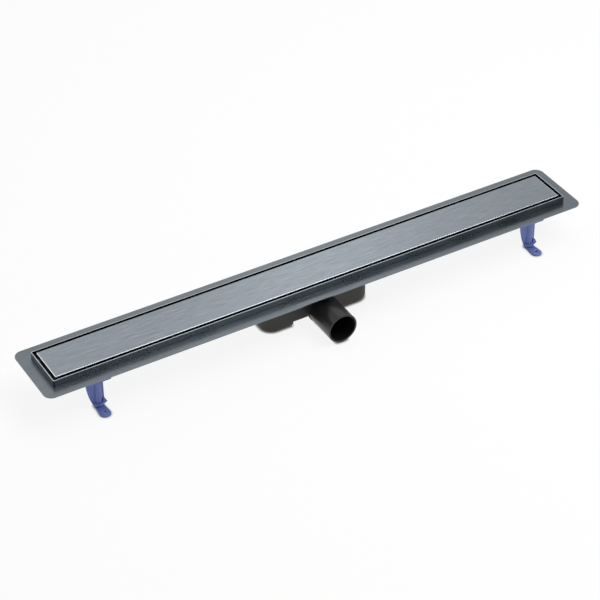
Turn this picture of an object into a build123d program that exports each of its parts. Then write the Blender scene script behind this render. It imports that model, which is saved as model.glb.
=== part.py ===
"""Linear shower drain: a long stainless channel with a tile-level cover, a low trap and four adjustable feet.

The channel is two welded sheets. The upper one is the flange that the floor's waterproofing is
bonded to, with an upstand folded up round its opening. The lower one is the trough, which falls
gently from both ends to the trap in the middle. A folded cover lies on four bridges in the trough,
with an open slot all round it. The trap is one moulding with its outlet pipe; a clamp frame and
six screws hold it up against the trough's floor, and a removable insert with two dip tubes and a
strainer hang in its mouth. Each foot has a ribbed stem that slides in a moulded leg.

Frame: X runs along the channel, the outlet points to -Y, Z is up. The origin is on the floor under
the middle of the channel, centred between the four floor screws, with the feet pushed fully in.
All lengths are millimetres and all angles are degrees.
"""
import os
from build123d import *

os.makedirs("parts", exist_ok=True)

# Channel: flange, upstand and trough
flange_length = 962.0
flange_width = 124.0
flange_corner = 14.0
flange_above_floor = 63.6
flange_sheet = 1.5
rim_length = 920.0
rim_width = 80.0
rim_height = 10.4
rim_corner = 2.5
root_radius = 0.5
trough_sheet = 1.2
trough_lap = 3.0
trough_corner = 3.0
trough_depth_middle = 8.8
trough_depth_end = 4.0
trough_flat_margin = 13.0

# Cover and what it lies on
cover_slot = 5.2
cover_sheet = 1.5
cover_skirt = 8.0
cover_proud = 0.8
cover_edge = 1.4
pad_thickness = 1.5
pad_length = 12.0
pad_width = 10.0
pad_offset = 20.0
support_sheet = 1.5
support_strip = 16.0
support_foot = 4.0
support_side_gap = 1.2
support_from_end = 88.0
support_from_trap = 69.5

# Trap moulding with its outlet pipe
trap_length = 191.0
trap_width = 55.0
trap_corner = 21.3
trap_edge = 6.5
trap_wall = 2.5
trap_floor_gap = 1.0
waist_length = 92.0
waist_rise = 5.0
waist_seam = 0.1
weir_depth = 30.0
lip_width = 6.5
lip_thickness = 3.0
outlet_radius = 25.0
outlet_wall = 2.8
outlet_reach = 100.2
outlet_under_lip = 0.5
outlet_heel = 12.0
outlet_socket = 60.0
collar_step = 0.8
collar_length = 3.0

# Clamp frame, its screws and the gasket
gasket_thickness = 1.5
frame_thickness = 3.0
mouth_margin = 2.0
boss_radius = 4.0
boss_length = 12.0
screw_radius = 1.75
screw_head_radius = 3.4
screw_head_height = 2.2
screw_drive = 2.5
screw_drive_depth = 1.4
screw_length = 15.0
screw_bite = 0.25
screw_head_edge = 0.7
screw_from_end = 33.5
boss_floor = 1.5
screw_edge = 3.0

# Removable insert, its seal and the strainer
insert_rim = 3.5
insert_plate = 2.0
insert_wall = 2.0
insert_skirt = 10.0
seal_width = 2.0
seal_height = 4.0
seal_drop = 1.5
tube_length = 32.0
tube_width = 38.0
tube_corner = 7.0
tube_inset = 21.5
tube_over_floor = 6.0
pocket_depth = 5.0
pocket_length = 44.0
pocket_corner = 1.0
lift_bar = 4.0
strainer_sheet = 0.8
strainer_margin = 1.0
strainer_slot = 4.0
strainer_slot_length = 26.0
strainer_pitch = 8.0
strainer_slots = 4
knob_radius = 5.0
knob_height = 5.0
knob_edge = 1.2

# Legs and feet
leg_from_end = 89.0
leg_from_rim = 2.0
bracket_sheet = 1.2
bracket_length = 12.0
bracket_offset = 4.0
bracket_lip = 3.5
head_width = 32.0
head_thickness = 3.0
head_clearance = 0.15
shelf_thickness = 3.0
shelf_corner = 2.0
column_radius = 5.8
stem_radius = 3.9
stem_clearance = 0.08
fin_thickness = 2.6
fin_left = 19.0
fin_waist = 16.4
fin_ankle = 11.2
fin_right = 9.4
rib_reach = 10.0
ankle_radius = 9.2
ankle_height = 5.0
ankle_edge = 1.0
latch_reach = 3.4
latch_height = 6.5
latch_width = 5.0
foot_heel_radius = 6.8
foot_toe_radius = 8.9
foot_thickness = 3.0
foot_toe = 31.0
foot_edge = 0.8
foot_boss_radius = 6.6
foot_boss_height = 1.0
foot_hole_reach = 20.5
foot_hole_radius = 2.25
foot_sink_radius = 4.0
foot_sink_depth = 1.0
stem_length = 44.0
stem_edge = 0.8
tooth_pitch = 2.6
tooth_depth = 0.9
tooth_count = 11

# How far a cutting body runs past the face that it opens
overcut = 1.0

# Levels, all measured up from the floor
flange_top = flange_above_floor
flange_under = flange_top - flange_sheet
rim_top = flange_top + rim_height
trough_floor = flange_top - trough_depth_middle
trough_under = trough_floor - trough_sheet
trough_end_floor = flange_top - trough_depth_end
cover_top = rim_top + cover_proud
cover_under = cover_top - cover_sheet
support_top = cover_under - pad_thickness
lip_top = trough_under - gasket_thickness
trap_bottom = trap_floor_gap
waist_bottom = trap_bottom + waist_rise
weir_top = flange_top - weir_depth
outlet_axis = lip_top - outlet_under_lip - outlet_radius
frame_top = trough_floor + frame_thickness
insert_top = frame_top + insert_plate
tube_bottom = trap_bottom + trap_wall + tube_over_floor
boss_top = foot_thickness + foot_boss_height
head_room = head_thickness + 2 * head_clearance
head_under = flange_under - bracket_sheet - head_clearance - head_thickness
shelf_top = head_under - head_clearance - bracket_sheet - head_clearance

# Plans that several pieces share
rim_inner_length = rim_length - 2 * flange_sheet
rim_inner_width = rim_width - 2 * flange_sheet
trough_inner_length = rim_inner_length - 2 * trough_sheet
trough_inner_width = rim_inner_width - 2 * trough_sheet
cover_length = rim_inner_length - 2 * cover_slot
cover_width = rim_inner_width - 2 * cover_slot
lip_length_all = trap_length + 2 * lip_width
lip_width_all = trap_width + 2 * lip_width
lip_corner = trap_corner + lip_width
trough_flat = lip_length_all + 2 * trough_flat_margin
support_outer_x = rim_length / 2 - support_from_end
support_inner_x = trap_length / 2 + support_from_trap
support_places = (-support_outer_x, -support_inner_x, support_inner_x, support_outer_x)
mouth_length = trap_length - 2 * (trap_wall + mouth_margin)
mouth_width = trap_width - 2 * (trap_wall + mouth_margin)
mouth_corner = trap_corner - trap_wall - mouth_margin
screw_row_x = trap_length / 2 - screw_from_end
screw_side_y = trap_width / 2 + screw_edge
screw_end_x = trap_length / 2 + screw_edge
screw_places = [
    (-screw_row_x, -screw_side_y),
    (screw_row_x, -screw_side_y),
    (-screw_row_x, screw_side_y),
    (screw_row_x, screw_side_y),
    (-screw_end_x, 0.0),
    (screw_end_x, 0.0),
]
tube_places = [side * (mouth_length / 2 - tube_inset) for side in (-1, 1)]
leg_x = flange_length / 2 - leg_from_end
leg_y = rim_width / 2 + leg_from_rim
leg_places = [(-leg_x, -leg_y, 0.0), (leg_x, -leg_y, 0.0), (leg_x, leg_y, 180.0), (-leg_x, leg_y, 180.0)]


def slab(length, width, corner, low, high):
    """A flat plate with rounded corners, between two levels."""
    outline = RectangleRounded(length, width, corner)
    return Pos(0, 0, low) * extrude(outline, high - low)


def ring(outer, inner, low, high):
    """A plate with a plate-shaped opening; each plan is (length, width, corner)."""
    return slab(*outer, low, high) - slab(*inner, low - overcut, high + overcut)


def post(x, y, radius, low, high):
    """An upright cylinder between two levels."""
    return Pos(x, y, (low + high) / 2) * Cylinder(radius, high - low)


def prism_along_x(points, x_low, x_high):
    """A closed outline in the YZ plane, run along X."""
    outline = make_face(Polyline(*points, close=True))
    face = Plane.YZ * outline
    return Pos(x_low, 0, 0) * extrude(face, x_high - x_low)


def prism_along_y(points, y_low, y_high):
    """A closed outline in the XZ plane, run along Y."""
    outline = make_face(Polyline(*points, close=True))
    face = Plane.XZ * outline
    return Pos(0, y_high, 0) * extrude(face, y_high - y_low)


def flange_frame():
    """Flange sheet with the upstand folded up round its opening."""
    flange = slab(flange_length, flange_width, flange_corner, flange_under, flange_top)
    upstand = slab(rim_length, rim_width, rim_corner, flange_under, rim_top)
    blank = flange + upstand
    root = [e for e in blank.edges() if abs(e.center().Z - flange_top) < 0.01 and on_rim(e)]
    blank = fillet(root, root_radius)
    opening = slab(rim_inner_length, rim_inner_width, rim_corner - flange_sheet, 0, rim_top + overcut)
    return blank - opening


def on_rim(edge):
    """Whether an edge lies on the upstand's outer wall."""
    middle = edge.center()
    return abs(middle.X) < rim_length / 2 + 0.1 and abs(middle.Y) < rim_width / 2 + 0.1


def trough_fill(inset, top):
    """What would fill the trough up to a level, drawn in by an inset on every side."""
    half_length = rim_inner_length / 2 - inset
    half_width = rim_inner_width / 2 - inset
    low = trough_under + inset
    end = trough_end_floor - trough_sheet + inset
    flat = trough_flat / 2
    side = [
        (-half_length, top),
        (-half_length, end),
        (-flat, low),
        (flat, low),
        (half_length, end),
        (half_length, top),
    ]
    block = prism_along_y(side, -half_width, half_width)
    return fillet(block.edges().filter_by(Axis.Z), trough_corner - inset)


def trough():
    """Pressed trough, lapped inside the upstand, with the trap's mouth and screw holes in its floor."""
    lap_top = flange_top + trough_lap
    shell = trough_fill(0, lap_top) - trough_fill(trough_sheet, lap_top + overcut)
    low, high = trough_under - overcut, trough_floor + overcut
    shell -= slab(mouth_length, mouth_width, mouth_corner, low, high)
    return screw_holes(shell, low, high)


def cover_plate():
    """Cover folded down on all four sides, with soft bends along its top edges."""
    block = Pos(0, 0, cover_top - cover_skirt) * extrude(
        RectangleRounded(cover_length, cover_width, cover_edge), cover_skirt
    )
    block = fillet(block.faces().sort_by(Axis.Z)[-1].edges(), cover_edge)
    hollow_length = cover_length - 2 * cover_sheet
    hollow_width = cover_width - 2 * cover_sheet
    hollow = Pos(0, 0, cover_under - cover_skirt) * extrude(
        Rectangle(hollow_length, hollow_width), cover_skirt
    )
    return block - hollow


def cover_support(x):
    """Folded bridge welded across the trough; its feet follow the trough's fall."""
    half = cover_width / 2 - cover_sheet - support_side_gap
    reach = half + support_foot
    strip = Pos(x, 0, cover_top / 2) * Box(support_strip, 2 * reach, cover_top)
    inside = trough_fill(trough_sheet, cover_top) & strip
    span = Box(support_strip + overcut, 2 * half, cover_top)
    feet = inside - Pos(0, 0, support_sheet) * inside - Pos(x, 0, cover_top / 2) * span
    arch = inside & Pos(x, 0, support_top - cover_top / 2) * span
    room = Box(support_strip + overcut, 2 * (half - support_sheet), cover_top)
    return feet + arch - Pos(x, 0, support_top - support_sheet - cover_top / 2) * room


def cover_pads(x):
    """Two rubber pads on one bridge, under the cover."""
    pads = []
    for y in (-pad_offset, pad_offset):
        middle = Pos(x, y, support_top + pad_thickness / 2)
        pads.append(middle * Box(pad_length, pad_width, pad_thickness))
    return pads


def basin(shrink, low, waist_low, high, waist_half):
    """The trap's bowl form, drawn in by shrink: a rounded tub whose waist has a shallower floor."""
    length = trap_length - 2 * shrink
    width = trap_width - 2 * shrink
    edge = trap_edge - shrink
    tub = slab(length, width, trap_corner - shrink, low, high)
    tub = fillet(tub.faces().sort_by(Axis.Z)[0].edges(), edge)
    split = waist_low + edge
    tub -= Pos(0, 0, (low - overcut + split) / 2) * Box(2 * waist_half, 2 * width, split - low + overcut)
    floor = Pos(0, 0, (waist_low + split) / 2) * Box(2 * waist_half, width, split - waist_low)
    long_edges = floor.edges().filter_by(Axis.X).sort_by(Axis.Z)[:2]
    return tub + fillet(long_edges, edge - waist_seam)


def outlet_rod(radius, heel, reach):
    """Round bar along -Y with a ball end under the trap's waist."""
    bar = Pos(0, -(reach + heel) / 2, outlet_axis) * Rot(90, 0, 0) * Cylinder(radius, reach - heel)
    return bar + Pos(0, -heel, outlet_axis) * Sphere(radius)


def trap_body():
    """Trap moulding: two water pits, a weir beside each, and the outlet pipe from the chamber between."""
    lip_low = lip_top - lip_thickness
    body = basin(0, trap_bottom, waist_bottom, lip_top, waist_length / 2)
    body += outlet_rod(outlet_radius, outlet_heel, outlet_reach)
    collar_y = outlet_socket - outlet_reach + collar_length / 2
    collar = Cylinder(outlet_radius + collar_step, collar_length)
    body += Pos(0, collar_y, outlet_axis) * Rot(90, 0, 0) * collar
    body += slab(lip_length_all, lip_width_all, lip_corner, lip_low, lip_top)
    for x, y in screw_places:
        body += post(x, y, boss_radius, lip_top - boss_length, lip_top)
    body -= Pos(0, 0, lip_top + outlet_radius) * Box(2 * trap_length, 2 * outlet_reach, 2 * outlet_radius)
    cavity = basin(
        trap_wall,
        trap_bottom + trap_wall,
        waist_bottom + trap_wall,
        lip_top + overcut,
        waist_length / 2 + trap_wall,
    )
    for side in (-1, 1):
        middle = side * (waist_length + trap_wall) / 2
        cavity -= Pos(middle, 0, weir_top / 2) * Box(trap_wall, trap_width, weir_top)
    body -= cavity
    body -= outlet_rod(outlet_radius - outlet_wall, outlet_heel, outlet_reach + overcut)
    for x, y in screw_places:
        body -= post(x, y, screw_radius, lip_top - boss_length + boss_floor, lip_top + overcut)
    return body


def screw_holes(solid, low, high):
    """Take the clamp screws' clearance holes out of a flat piece."""
    for x, y in screw_places:
        solid -= post(x, y, screw_radius + screw_bite, low, high)
    return solid


def trap_gasket():
    """Flat rubber gasket between the trap's lip and the trough."""
    outer = (lip_length_all, lip_width_all, lip_corner)
    inner = (mouth_length, mouth_width, mouth_corner)
    flat = ring(outer, inner, lip_top, trough_under)
    return screw_holes(flat, lip_top - overcut, trough_under + overcut)


def clamp_frame():
    """Frame in the trough that pulls the trap up against its gasket."""
    outer = (lip_length_all, lip_width_all, lip_corner)
    inner = (mouth_length, mouth_width, mouth_corner)
    flat = ring(outer, inner, trough_floor, frame_top)
    return screw_holes(flat, trough_floor - overcut, frame_top + overcut)


def clamp_screws():
    """Six pan-head screws with a hexagon socket, as one group."""
    screws = []
    for x, y in screw_places:
        head = post(x, y, screw_head_radius, frame_top, frame_top + screw_head_height)
        head = chamfer(head.edges().sort_by(Axis.Z)[-1], screw_head_edge)
        shank = post(x, y, screw_radius, frame_top + screw_head_height - screw_length, frame_top)
        socket = Pos(x, y, frame_top + screw_head_height - screw_drive_depth) * extrude(
            RegularPolygon(screw_drive / 2, 6, major_radius=False), screw_drive_depth + overcut
        )
        screws.append(head + shank - socket)
    return screws


def trap_insert():
    """Removable insert: a rim on the clamp frame, a closed pocket with a lifting bar, two dip tubes."""
    skirt_length = mouth_length - 2 * seal_width
    skirt_width = mouth_width - 2 * seal_width
    skirt_corner = mouth_corner - seal_width
    rim_plan = (
        mouth_length + 2 * insert_rim,
        mouth_width + 2 * insert_rim,
        mouth_corner + insert_rim,
    )
    low = frame_top - insert_skirt
    solid = slab(*rim_plan, frame_top, insert_top)
    solid += slab(skirt_length, skirt_width, skirt_corner, low, insert_top)
    for x in tube_places:
        solid += Pos(x, 0, 0) * slab(tube_length, tube_width, tube_corner, tube_bottom, low + overcut)
    tray = slab(
        skirt_length - 2 * insert_wall,
        skirt_width - 2 * insert_wall,
        skirt_corner - insert_wall,
        insert_top - pocket_depth,
        insert_top + overcut,
    )
    under = slab(
        pocket_length + 2 * insert_wall,
        skirt_width - 2 * insert_wall,
        pocket_corner,
        low - overcut,
        insert_top - pocket_depth - insert_plate,
    )
    solid = solid - tray - under
    for x in tube_places:
        solid -= Pos(x, 0, 0) * slab(
            tube_length - 2 * insert_wall,
            tube_width - 2 * insert_wall,
            tube_corner - insert_wall,
            tube_bottom - overcut,
            insert_top + overcut,
        )
    bar = Pos(0, 0, insert_top - lift_bar / 2) * Box(lift_bar, skirt_width - insert_wall, lift_bar)
    return solid + bar


def insert_seal():
    """Rubber ring between the insert's skirt and the clamp frame's mouth."""
    outer = (mouth_length, mouth_width, mouth_corner)
    inner = (
        mouth_length - 2 * seal_width,
        mouth_width - 2 * seal_width,
        mouth_corner - seal_width,
    )
    return ring(outer, inner, frame_top - seal_drop - seal_height, frame_top - seal_drop)


def strainer():
    """Flat slotted strainer over both dip tubes, with a knob to lift it by."""
    length = mouth_length + 2 * insert_rim - 2 * strainer_margin
    width = mouth_width + 2 * insert_rim - 2 * strainer_margin
    corner = mouth_corner + insert_rim - strainer_margin
    top = insert_top + strainer_sheet
    plate = slab(length, width, corner, insert_top, top)
    for middle in tube_places:
        for n in range(strainer_slots):
            x = middle + (n - (strainer_slots - 1) / 2) * strainer_pitch
            slot = SlotOverall(strainer_slot_length, strainer_slot, rotation=90)
            plate -= Pos(x, 0, insert_top - overcut) * extrude(slot, strainer_sheet + 2 * overcut)
    knob = post(0, 0, knob_radius, top - strainer_sheet / 2, top + knob_height)
    knob = fillet(knob.edges().sort_by(Axis.Z)[-1], knob_edge)
    return plate + knob


def placed(solid, place):
    """Put a leg piece, drawn about its own column, at its place on the channel."""
    x, y, turn = place
    return Pos(x, y, 0) * Rot(0, 0, turn) * solid


def bracket_y():
    """Inner and outer ends of the leg bracket, measured from the column's axis towards the toe."""
    inner = leg_from_rim + flange_sheet - bracket_offset
    return inner, inner - bracket_length


def leg_bracket():
    """C-shaped steel bracket welded under the flange, open along its length for the leg's head."""
    y_in, y_out = bracket_y()
    half = head_width / 2 + head_clearance + bracket_sheet
    low = flange_under - 2 * bracket_sheet - head_room
    outer = Pos(0, (y_in + y_out) / 2, (low + flange_under) / 2) * Box(
        2 * half, bracket_length, flange_under - low
    )
    room = Pos(0, (y_in + y_out) / 2, flange_under - bracket_sheet - head_room / 2) * Box(
        2 * (half - bracket_sheet), 2 * bracket_length, head_room
    )
    slot_half = half - bracket_sheet - bracket_lip
    slot = Pos(0, (y_in + y_out) / 2, low) * Box(2 * slot_half, 2 * bracket_length, 2 * head_room)
    return outer - room - slot


def fin_outline():
    """Outline of the leg's upright fin, seen from the toe's side: a swept left edge and a plain right one."""
    low = boss_top + ankle_edge
    high = shelf_top - shelf_thickness
    left = Spline((-fin_left, high), (-fin_waist, (low + high) / 2), (-fin_ankle, low + ankle_height))
    rest = Polyline(
        (-fin_ankle, low + ankle_height),
        (-ankle_radius, low),
        (ankle_radius, low),
        (fin_right, low + ankle_height),
        (fin_right, high),
        (-fin_left, high),
    )
    return make_face([left, rest])


def leg_head():
    """The leg's top: a flat head that hangs in the bracket, its neck, and the shelf under the bracket."""
    y_in, y_out = bracket_y()
    middle = (y_in + y_out) / 2
    head = Pos(0, middle, head_under + head_thickness / 2) * Box(head_width, bracket_length, head_thickness)
    neck_width = head_width - 2 * bracket_lip - 2 * head_clearance
    neck = Pos(0, middle, (shelf_top + head_under) / 2) * Box(
        neck_width, bracket_length, head_under - shelf_top
    )
    shelf = Pos(0, (y_out + rib_reach) / 2, shelf_top - shelf_thickness / 2) * Box(
        2 * fin_left, rib_reach - y_out, shelf_thickness
    )
    return head + neck + fillet(shelf.edges().filter_by(Axis.Z), shelf_corner)


def leg_sleeve():
    """Moulded leg: head, bored column with a fin and a rib, an ankle ring and the latch beside it."""
    fin = Plane.XZ * fin_outline()
    solid = leg_head() + Pos(0, fin_thickness / 2, 0) * extrude(fin, fin_thickness)
    solid += post(0, 0, column_radius, boss_top, shelf_top)
    ankle_top = boss_top + ankle_height
    ankle = post(0, 0, ankle_radius, boss_top, ankle_top)
    solid += chamfer(ankle.edges().filter_by(GeomType.CIRCLE), ankle_edge)
    rib = [(0, shelf_top), (rib_reach, shelf_top), (column_radius, ankle_top), (0, ankle_top)]
    solid += prism_along_x(rib, -fin_thickness / 2, fin_thickness / 2)
    latch_x = ankle_radius + latch_reach
    latch = [
        (column_radius, boss_top + ankle_edge),
        (ankle_radius, boss_top + ankle_edge),
        (latch_x, boss_top + latch_height / 2),
        (latch_x - latch_reach / 2, boss_top + latch_height),
        (fin_right, boss_top + latch_height + latch_reach),
        (column_radius, boss_top + latch_height + latch_reach),
    ]
    solid += prism_along_y(latch, -latch_width, 0)
    bore_top = boss_top + stem_length + overcut
    return solid - post(0, 0, stem_radius + stem_clearance, 0, bore_top)


def stem():
    """The foot's round stem, with a rack of latch teeth down one side."""
    top = boss_top + stem_length
    rod = post(0, 0, stem_radius, foot_thickness / 2, top)
    rod = chamfer(rod.edges().sort_by(Axis.Z)[-1], stem_edge)
    root = stem_radius - tooth_depth
    clear = stem_radius + tooth_depth
    for n in range(1, tooth_count + 1):
        low = top - stem_edge - n * tooth_pitch
        notch = [(root, low), (clear, low), (clear, low + tooth_pitch)]
        rod -= prism_along_y(notch, -stem_radius, stem_radius)
    return rod


def foot():
    """Foot: a plate with a round toe and a countersunk screw hole, a boss and the toothed stem."""
    heel = Circle(foot_heel_radius)
    toe = Pos(0, foot_toe_radius - foot_toe) * Circle(foot_toe_radius)
    plate = extrude(make_hull([*heel.edges(), *toe.edges()]), foot_thickness)
    plate = chamfer(plate.faces().sort_by(Axis.Z)[-1].outer_wire().edges(), foot_edge)
    plate += post(0, 0, foot_boss_radius, foot_thickness / 2, boss_top)
    plate += stem()
    plate -= post(0, -foot_hole_reach, foot_hole_radius, -overcut, foot_thickness + overcut)
    sink = Pos(0, -foot_hole_reach, foot_thickness - foot_sink_depth / 2) * Cone(
        foot_hole_radius, foot_sink_radius, foot_sink_depth
    )
    return plate - sink


def write(name, shape):
    """Write one node; a list becomes a group of separate solids."""
    if isinstance(shape, list):
        shape = Compound(children=[part_solid(one) for one in shape])
    else:
        shape = part_solid(shape)
    export_step(shape, f"parts/{name}.step")


def part_solid(shape):
    """The single solid of a shape, checked to be whole."""
    solids = shape.solids()
    if len(solids) != 1:
        raise ValueError(f"expected one solid, found {len(solids)}")
    return solids[0]


write("flange_frame", flange_frame())
write("trough", trough())
write("cover_plate", cover_plate())
for number, x in enumerate(support_places, 1):
    write(f"cover_support_{number}", cover_support(x))
    write(f"cover_pads_{number}", cover_pads(x))
write("trap_body", trap_body())
write("trap_gasket", trap_gasket())
write("clamp_frame", clamp_frame())
write("clamp_screws", clamp_screws())
write("trap_insert", trap_insert())
write("insert_seal", insert_seal())
write("strainer", strainer())
for number, place in enumerate(leg_places, 1):
    write(f"leg_bracket_{number}", placed(leg_bracket(), place))
    write(f"leg_sleeve_{number}", placed(leg_sleeve(), place))
    write(f"foot_{number}", placed(foot(), place))
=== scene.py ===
"""Looks of the linear shower drain: the finish of each piece, and the studio they stand in."""
import math
import bpy
from mathutils import Matrix, Vector


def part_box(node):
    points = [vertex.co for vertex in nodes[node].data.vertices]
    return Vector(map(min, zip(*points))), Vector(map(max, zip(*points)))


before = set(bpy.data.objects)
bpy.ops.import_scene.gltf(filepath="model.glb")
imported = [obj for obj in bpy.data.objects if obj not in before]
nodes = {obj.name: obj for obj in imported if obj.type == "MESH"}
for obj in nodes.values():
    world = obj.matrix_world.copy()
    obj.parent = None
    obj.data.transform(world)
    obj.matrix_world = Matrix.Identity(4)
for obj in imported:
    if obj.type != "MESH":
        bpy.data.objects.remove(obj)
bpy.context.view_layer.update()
bpy.ops.object.select_all(action="DESELECT")

# Flange and upstand: one frame of 1.5 mm stainless sheet, mill-rolled satin, the upstand folded up
# round the opening. The rolling leaves faint lines along the sheet, and handling leaves dull patches.


def colour(code):
    """sRGB hex to linear RGBA."""
    parts = [int(code[i : i + 2], 16) / 255 for i in (1, 3, 5)]
    return [p / 12.92 if p <= 0.04045 else ((p + 0.055) / 1.055) ** 2.4 for p in parts] + [1.0]


def plug(node, inputs):
    """Fill a node's inputs, by name or in their order: with values, sockets, or other nodes,
    of which the first live output is taken."""
    for socket, value in inputs.items() if isinstance(inputs, dict) else enumerate(inputs):
        if isinstance(value, bpy.types.Node):
            value = next(output for output in value.outputs if output.enabled)
        if isinstance(value, bpy.types.NodeSocket):
            node.id_data.links.new(value, node.inputs[socket])
        else:
            node.inputs[socket].default_value = value


def add(tree, kind, inputs=(), **settings):
    """One node with its settings and its inputs."""
    node = tree.nodes.new(kind)
    for name, value in settings.items():
        setattr(node, name, value)
    plug(node, inputs)
    return node


def finish(name, *names):
    """A new material, given to the named CAD pieces. Returns its node tree and shader."""
    material = bpy.data.materials.new(name)
    material.use_nodes = True
    for piece in names:
        nodes[piece].data.materials.clear()
        nodes[piece].data.materials.append(material)
    return material.node_tree, material.node_tree.nodes["Principled BSDF"]


def grain(tree, along, across, detail):
    """Noise drawn out along X: the length and the width of one line, in metres."""
    place = add(tree, "ShaderNodeTexCoord").outputs["Object"]
    stretch = add(
        tree, "ShaderNodeMapping", {"Vector": place, "Scale": (1 / along, 1 / across, 1 / across)}
    )
    return add(tree, "ShaderNodeTexNoise", {"Vector": stretch, "Scale": 1.0, "Detail": detail})


def zone(tree, *limits, mirrored=True):
    """A part of the piece, from 0 outside to 1 inside. Each limit is an axis, the place on it where
    the zone begins, and the place where it's whole, in metres; mirrored, both ways from the middle."""
    place = add(tree, "ShaderNodeTexCoord").outputs["Object"]
    if mirrored:
        place = add(tree, "ShaderNodeVectorMath", [place], operation="ABSOLUTE")
    places = add(tree, "ShaderNodeSeparateXYZ", [place])
    share = 1.0
    for axis, begins, whole in limits:
        reach = add(tree, "ShaderNodeMapRange", [places.outputs[axis], begins, whole])
        share = add(tree, "ShaderNodeMath", [share, reach], operation="MULTIPLY")
    return share


# Rolled satin stainless: cool grey, half-sharp reflections with faint lines along the sheet.
# Real rolling lines are 0.1 mm wide; they are drawn 1.2 mm wide so that they show. The inner half
# of the upstand's top edge, 10.4 mm above the flange, gets a painted highlight, coloured near white
# for the light it catches. The upstand's inner face gets painted shade, so the slot round the cover
# looks black, and the root of the fold gets painted shade for its crease and is made rougher.
inner_half = ("X", 0.4595, 0.4592), ("Y", 0.0394, 0.0391)
inner_face = ("X", 0.4588, 0.4586), ("Y", 0.0388, 0.0386)
cut_edge = ("Z", 0.0736, 0.0739)
above_flange, below_wall = ("Z", 0.063605, 0.06363), ("Z", 0.0643, 0.0640)
noise_spread = (0.3, 0.7)
satin_roughness = (0.24, 0.33)
pickled_extra = 0.55
tree, steel = finish("rolled_satin_stainless", "flange_frame")
lines = grain(tree, 0.090, 0.0012, 3.0)
patches = grain(tree, 0.060, 0.020, 2.0)
# Painted shade: the root of the fold is coloured dark, for the shade in its crease, and made rougher.
fold_root_shade = zone(tree, above_flange, below_wall)
# Painted shade: the upstand's inner face is coloured dark, so the slot round the cover looks black.
inner_face_shade = zone(tree, *inner_face)
# Painted highlight: the inner half of the upstand's top edge is coloured near white, for the light it
# catches.
top_edge_highlight = zone(tree, cut_edge, *inner_half)
tone = colour("#6e767c")
# Colours: rolling lines, painted shade at the fold's root and on the inner face, painted highlight on
# the top edge.
for where, code in ((lines, "#858d93"), (fold_root_shade, "#34393d"), (inner_face_shade, "#33373a"), (top_edge_highlight, "#dae2e8")):
    tone = add(
        tree, "ShaderNodeMix", {"Factor": where, "A": tone, "B": colour(code)}, data_type="RGBA"
    )
satin = add(tree, "ShaderNodeMapRange", [patches, *noise_spread, *satin_roughness])
plug(steel, {
    "Base Color": tone,
    "Metallic": 1.0,
    "Roughness": add(tree, "ShaderNodeMath", [fold_root_shade, pickled_extra, satin], operation="MULTIPLY_ADD"),
    "Normal": add(tree, "ShaderNodeBump", {"Height": lines, "Strength": 0.05, "Distance": 0.0002}),
})

# Trough: pressed 1.2 mm stainless, lapped inside the upstand and welded, with four folded bridges
# welded across it. Same rolled sheet, a little duller inside from the pickling after welding. The
# brackets that hold the legs under the flange are bent from it too.
pickled_roughness = (0.32, 0.46)
tree, steel = finish(
    "pickled_stainless",
    "trough",
    *[f"cover_support_{n}" for n in (1, 2, 3, 4)],
    *[f"leg_bracket_{n}" for n in (1, 2, 3, 4)],
)
lines = grain(tree, 0.070, 0.0015, 3.0)
patches = grain(tree, 0.025, 0.018, 4.0)
shades = {"Factor": patches, "A": colour("#868c90"), "B": colour("#a6abae")}
plug(steel, {
    "Base Color": add(tree, "ShaderNodeMix", shades, data_type="RGBA"),
    "Metallic": 1.0,
    "Roughness": add(tree, "ShaderNodeMapRange", [patches, *noise_spread, *pickled_roughness]),
    "Normal": add(tree, "ShaderNodeBump", {"Height": lines, "Strength": 0.12, "Distance": 0.0002}),
})

# Cover: 1.5 mm stainless folded down on four sides and brushed along its length with a 240 grit
# belt. The belt leaves lines 0.1 mm wide, drawn 0.9 mm wide so that they show. Brushed steel is
# rougher across the lines than along them, so the gloss has a direction, across the cover.
# The folded sides get painted shade, a dark colour that makes the slot round the cover look black.
# The edges of the two ends get a painted highlight, a near-white colour for the light they catch.
sides = ("Z", 0.0740, 0.0736)
end_edges = ("X", 0.4518, 0.4520), ("Z", 0.0739, 0.0741)
brushed_roughness = (0.20, 0.25)
tree, steel = finish("brushed_stainless", "cover_plate")
fine = grain(tree, 0.030, 0.0009, 3.0)
broad = grain(tree, 0.120, 0.004, 2.0)
brushed = add(tree, "ShaderNodeMapRange", [fine, *noise_spread])
# Painted shade: the folded sides below the top are coloured dark.
folded_side_shade = zone(tree, sides)
# Painted highlight: the edges of the two ends are coloured near white.
end_edge_highlight = zone(tree, *end_edges)
tone = colour("#868d94")
# Colours: brush lines, then painted shade on the folded sides and a painted highlight on the end
# edges.
for where, code in ((brushed, "#a2aab2"), (folded_side_shade, "#45494c"), (end_edge_highlight, "#f2f5f8")):
    tone = add(
        tree, "ShaderNodeMix", {"Factor": where, "A": tone, "B": colour(code)}, data_type="RGBA"
    )
plug(steel, {
    "Base Color": tone,
    "Metallic": 1.0,
    "Roughness": add(tree, "ShaderNodeMapRange", [broad, *noise_spread, *brushed_roughness]),
    "Anisotropic": 0.6,
    "Tangent": add(tree, "ShaderNodeTangent", direction_type="RADIAL", axis="X"),
    "Normal": add(tree, "ShaderNodeBump", {"Height": fine, "Strength": 0.10, "Distance": 0.0002}),
})

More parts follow.
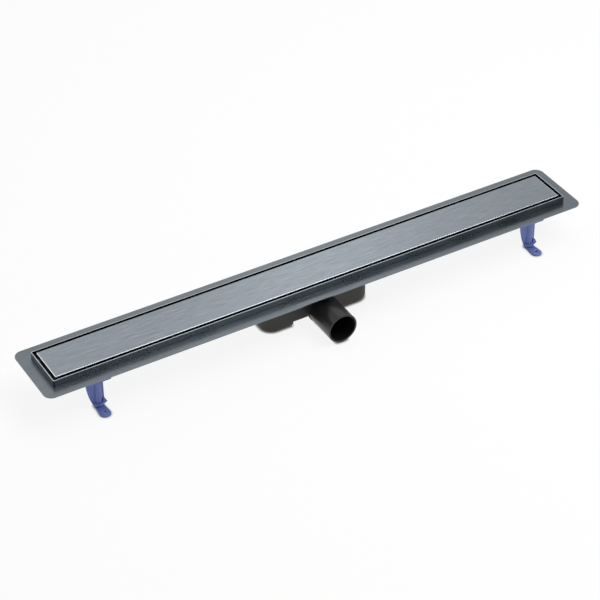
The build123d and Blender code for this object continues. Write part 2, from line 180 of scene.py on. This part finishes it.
# Strainer: 0.8 mm stainless, punched and fine brushed, with a turned knob welded on. Its brushing
# is drawn 0.6 mm wide.
fine_roughness = (0.22, 0.34)
tree, steel = finish("fine_brushed_stainless", "strainer")
fine = grain(tree, 0.040, 0.0006, 3.0)
shades = {"Factor": fine, "A": colour("#9aa0a4"), "B": colour("#b9bec1")}
plug(steel, {
    "Base Color": add(tree, "ShaderNodeMix", shades, data_type="RGBA"),
    "Metallic": 1.0,
    "Roughness": add(tree, "ShaderNodeMapRange", [fine, *noise_spread, *fine_roughness]),
})

# Clamp screws: cold-headed stainless, tumbled bright, with a faint speckle from the tumbling, whose
# dents are about 0.6 mm wide.
tumbled_roughness = (0.22, 0.40)
tree, steel = finish("tumbled_stainless", "clamp_screws")
speckle = grain(tree, 0.0006, 0.0006, 2.0)
shades = {"Factor": speckle, "A": colour("#8f8f8e"), "B": colour("#bcbcba")}
plug(steel, {
    "Base Color": add(tree, "ShaderNodeMix", shades, data_type="RGBA"),
    "Metallic": 1.0,
    "Roughness": add(tree, "ShaderNodeMapRange", [speckle, *noise_spread, *tumbled_roughness]),
})

# Trap with its outlet pipe: one polypropylene moulding, black, from a spark-eroded tool. The tool is
# polished where the pipe takes its socket, so the pipe is deeper black and shines more than the bowl.
# The last half millimetre of the pipe's end is coloured the deepest black. The erosion's pits are
# drawn 0.8 mm wide, some eight times their real size.
bowl_end, pipe_end = ("Y", -0.045, -0.034), ("Y", -0.0994, -0.0999)
pipe_to_bowl_roughness = (0.30, 0.56)
cloudiness = (-0.04, 0.04)
tree, plastic = finish("moulded_polypropylene_black", "trap_body")
erosion = grain(tree, 0.0008, 0.0008, 2.0)
cloud = grain(tree, 0.035, 0.035, 3.0)
eroded = zone(tree, bowl_end, mirrored=False)
# The pipe's end is coloured near black.
dark_pipe_end = zone(tree, pipe_end, mirrored=False)
shades = {"Factor": cloud, "A": colour("#302e2c"), "B": colour("#3c3a37")}
bowl = add(tree, "ShaderNodeMix", shades, data_type="RGBA")
shades = {"Factor": eroded, "A": colour("#1d1d1c"), "B": bowl}
moulded = add(tree, "ShaderNodeMix", shades, data_type="RGBA")
shades = {"Factor": dark_pipe_end, "A": moulded, "B": colour("#0e0e0e")}
dull = add(tree, "ShaderNodeMapRange", [eroded, 0.0, 1.0, *pipe_to_bowl_roughness])
wander = add(tree, "ShaderNodeMapRange", [cloud, *noise_spread, *cloudiness])
plug(plastic, {
    "Base Color": add(tree, "ShaderNodeMix", shades, data_type="RGBA"),
    "Roughness": add(tree, "ShaderNodeMath", [dull, wander], operation="ADD"),
    "Normal": add(tree, "ShaderNodeBump", {"Height": erosion, "Strength": 0.10, "Distance": 0.0001}),
})

# Clamp frame: glass-filled polyamide, black and matt, with the flow of the fibres just visible, in
# streaks about 20 mm long and 3 mm wide.
glass_filled_roughness = (0.46, 0.62)
tree, plastic = finish("glass_filled_polyamide_black", "clamp_frame")
flow = grain(tree, 0.020, 0.003, 4.0)
shades = {"Factor": flow, "A": colour("#262626"), "B": colour("#343434")}
plug(plastic, {
    "Base Color": add(tree, "ShaderNodeMix", shades, data_type="RGBA"),
    "Roughness": add(tree, "ShaderNodeMapRange", [flow, *noise_spread, *glass_filled_roughness]),
    "Normal": add(tree, "ShaderNodeBump", {"Height": flow, "Strength": 0.08, "Distance": 0.0001}),
})

# Insert: grey polypropylene, smooth from a polished tool, with the cloudiness of a thick wall, in
# clouds about 30 mm wide.
smooth_roughness = (0.32, 0.44)
tree, plastic = finish("moulded_polypropylene_grey", "trap_insert")
cloud = grain(tree, 0.030, 0.030, 3.0)
shades = {"Factor": cloud, "A": colour("#8b8e90"), "B": colour("#979a9c")}
plug(plastic, {
    "Base Color": add(tree, "ShaderNodeMix", shades, data_type="RGBA"),
    "Roughness": add(tree, "ShaderNodeMapRange", [cloud, *noise_spread, *smooth_roughness]),
})

# Gasket, seal and the pads under the cover: black EPDM rubber, matt, with a trace of bloom in
# specks about 6 mm wide.
rubber_roughness = (0.70, 0.88)
tree, rubber = finish(
    "epdm_rubber",
    "trap_gasket",
    "insert_seal",
    *[f"cover_pads_{n}" for n in (1, 2, 3, 4)],
)
bloom = grain(tree, 0.006, 0.006, 4.0)
shades = {"Factor": bloom, "A": colour("#191919"), "B": colour("#282827")}
plug(rubber, {
    "Base Color": add(tree, "ShaderNodeMix", shades, data_type="RGBA"),
    "Roughness": add(tree, "ShaderNodeMapRange", [bloom, *noise_spread, *rubber_roughness]),
})

# Legs and feet: polyamide coloured blue-violet in the mass, moulded smooth. The tool's polish leaves
# a soft sheen, and rubbing against the floor and the bracket leaves slightly paler, duller places.
# The skin's fine unevenness is drawn 0.9 mm wide so that it shows.
polished_roughness = (0.34, 0.50)
tree, plastic = finish(
    "moulded_polyamide_violet_blue",
    *[f"leg_sleeve_{n}" for n in (1, 2, 3, 4)],
    *[f"foot_{n}" for n in (1, 2, 3, 4)],
)
cloud = grain(tree, 0.012, 0.012, 4.0)
skin = grain(tree, 0.0009, 0.0009, 2.0)
shades = {"Factor": cloud, "A": colour("#6474b8"), "B": colour("#7484c4")}
plug(plastic, {
    "Base Color": add(tree, "ShaderNodeMix", shades, data_type="RGBA"),
    "Roughness": add(tree, "ShaderNodeMapRange", [cloud, *noise_spread, *polished_roughness]),
    "Normal": add(tree, "ShaderNodeBump", {"Height": skin, "Strength": 0.06, "Distance": 0.0001}),
})

# Studio floor: a wide sheet of white paper on which the feet stand. What the camera and the gloss
# of the object see of it is lifted towards white, so only a soft shadow stays. Right under what
# touches it, painted contact shade darkens its colour and its lift, and it's clear from below, so
# that the underside can be looked at.
floor_width, under_the_feet = 60.0, 0.0001
touching, touching_power = 0.005, 2.0
lifted_share = 0.88
white = (1.0, 1.0, 1.0, 1.0)
bpy.ops.mesh.primitive_plane_add(size=floor_width, location=(0, 0, -under_the_feet))
floor = bpy.context.object
floor.name = "studio_floor"
sheet = bpy.data.materials.new("white_paper")
sheet.use_nodes = True
tree = sheet.node_tree
# Painted contact shade: where ambient occlusion finds something within 5 mm, the paper's colour goes
# dark.
nearby = add(tree, "ShaderNodeAmbientOcclusion", {"Distance": touching}, samples=8).outputs["AO"]
contact_shade = add(tree, "ShaderNodeMath", [nearby, touching_power], operation="POWER")
shades = {"Factor": contact_shade, "A": colour("#303030"), "B": colour("#f4f4f4")}
paper = tree.nodes["Principled BSDF"]
plug(paper, {
    "Base Color": add(tree, "ShaderNodeMix", shades, data_type="RGBA"),
    "Roughness": 0.9,
    "Specular IOR Level": 0.0,
})
path = add(tree, "ShaderNodeLightPath")
direct = 0.0
for ray in ("Is Camera Ray", "Is Glossy Ray", "Is Transmission Ray"):
    direct = add(tree, "ShaderNodeMath", [direct, path.outputs[ray]], operation="ADD")
lift = lifted_share
# The lift drops with the painted contact shade too.
for share in (direct, contact_shade):
    lift = add(tree, "ShaderNodeMath", [lift, share], operation="MULTIPLY")
glow = add(tree, "ShaderNodeEmission", {"Color": white, "Strength": 1.0})
lifted = add(tree, "ShaderNodeMixShader", [lift, paper, glow])
underside = add(tree, "ShaderNodeNewGeometry").outputs["Backfacing"]
clear = add(tree, "ShaderNodeBsdfTransparent")
one_sided = add(tree, "ShaderNodeMixShader", [underside, lifted, clear])
plug(tree.nodes["Material Output"], {"Surface": one_sided})
floor.data.materials.append(sheet)

# Studio light: a pale wall on the far side with one brighter strip in it, and a dark room behind the
# camera. The steel reflects them, so the cover is brightest at its middle, where it shows the strip.
# The wall's light comes in bands by height: dim at its foot, full above it, and dim again overhead.
# Each row of bands holds two heights, as the Z of the direction, and the light's share at each.
strip_bearing, strip_reach = math.radians(30.6), 0.16
wall_levels = [
    (0.0, 0.48), (0.10, 0.42), (0.28, 0.29), (0.38, 0.42), (0.47, 0.90),
    (0.53, 0.78), (0.60, 0.50), (0.76, 0.36), (1.0, 0.32),
]
wall_light = 1.92
wall_bands = (0.15, 0.30, 0.50, 1.35), (0.45, 0.60, 1.0, 0.72), (0.66, 0.76, 1.0, 0.35)
room_band = (0.18, 0.36, 0.65, 0.05)
room_to_wall = (-0.10, 0.55)
world = bpy.data.worlds.new("studio")
bpy.context.scene.world = world
world.use_nodes = True
tree = world.node_tree
towards = add(tree, "ShaderNodeTexCoord").outputs["Generated"]
split = add(tree, "ShaderNodeSeparateXYZ", [towards])
beside_strip = (math.cos(strip_bearing), -math.sin(strip_bearing), 0.0)
across = add(tree, "ShaderNodeVectorMath", [towards, beside_strip], operation="DOT_PRODUCT")
along_wall = add(tree, "ShaderNodeMapRange", [across.outputs["Value"], -strip_reach, strip_reach])
wall = add(tree, "ShaderNodeFloatCurve", {"Value": along_wall})
curve = wall.mapping.curves[0]
curve.points[0].location = wall_levels[0]
curve.points[1].location = wall_levels[-1]
for level in wall_levels[1:-1]:
    curve.points.new(*level)
wall.mapping.update()
far = add(tree, "ShaderNodeMath", [wall, wall_light], operation="MULTIPLY")
for band in wall_bands:
    share = add(tree, "ShaderNodeMapRange", [split.outputs["Z"], *band])
    far = add(tree, "ShaderNodeMath", [far, share], operation="MULTIPLY")
near = add(tree, "ShaderNodeMapRange", [split.outputs["Z"], *room_band])
side = add(tree, "ShaderNodeMapRange", [split.outputs["Y"], *room_to_wall])
shown = add(tree, "ShaderNodeMix", {"Factor": side, "A": near, "B": far}, data_type="FLOAT")
camera_ray = add(tree, "ShaderNodeLightPath").outputs["Is Camera Ray"]
plug(tree.nodes["Background"], {
    "Color": white,
    "Strength": add(
        tree, "ShaderNodeMix", {"Factor": camera_ray, "A": shown, "B": 1.0}, data_type="FLOAT"
    ),
})

# Two soft boxes: one overhead, and one in front above the camera's right, which gives the cover's
# edge its bright line and lights the legs. Each has its place, its size in metres and its watts.
for name, spot, size, power in (
    ("overhead_softbox", (0.5, 0.3, 2.4), (2.4, 1.6), 26.0),
    ("front_softbox", (1.25, -0.95, 2.6), (2.5, 1.1), 48.0),
):
    bpy.ops.object.light_add(type="AREA", location=spot)
    lamp = bpy.context.object
    lamp.name = name
    lamp.data.shape = "RECTANGLE"
    lamp.data.size, lamp.data.size_y = size
    lamp.data.energy = power
    lamp.rotation_euler = Vector(spot).to_track_quat("Z", "Y").to_euler()

# Camera: where the photograph was taken from. Its angle, lens and distance were worked out from the
# straight edges of the flange, the rim and the cover. It looks past the flange's middle by the two
# shifts.
azimuth = math.radians(-30.276)
elevation = math.radians(37.573)
roll = math.radians(-0.402)
flange_height = 0.0636
shift_right, shift_up, distance = 0.014976, 0.037547, 3.386792
back = Vector((
    math.sin(azimuth) * math.cos(elevation),
    -math.cos(azimuth) * math.cos(elevation),
    math.sin(elevation),
))
level = Vector((math.cos(azimuth), math.sin(azimuth), 0.0))
upward = back.cross(level)
right = math.cos(roll) * level + math.sin(roll) * upward
top = math.cos(roll) * upward - math.sin(roll) * level
aim = Vector((0, 0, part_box("foot_1")[0].z + flange_height))
spot = aim - shift_right * right - shift_up * top + distance * back
bpy.ops.object.camera_add()
camera = bpy.context.object
camera.data.sensor_width = 36.0
camera.data.lens = 129.987
camera.data.clip_end = 100.0
camera.matrix_world = Matrix((
    (right.x, top.x, back.x, spot.x),
    (right.y, top.y, back.y, spot.y),
    (right.z, top.z, back.z, spot.z),
    (0, 0, 0, 1),
))
bpy.context.scene.camera = camera
bpy.context.scene.view_settings.view_transform = "Standard"
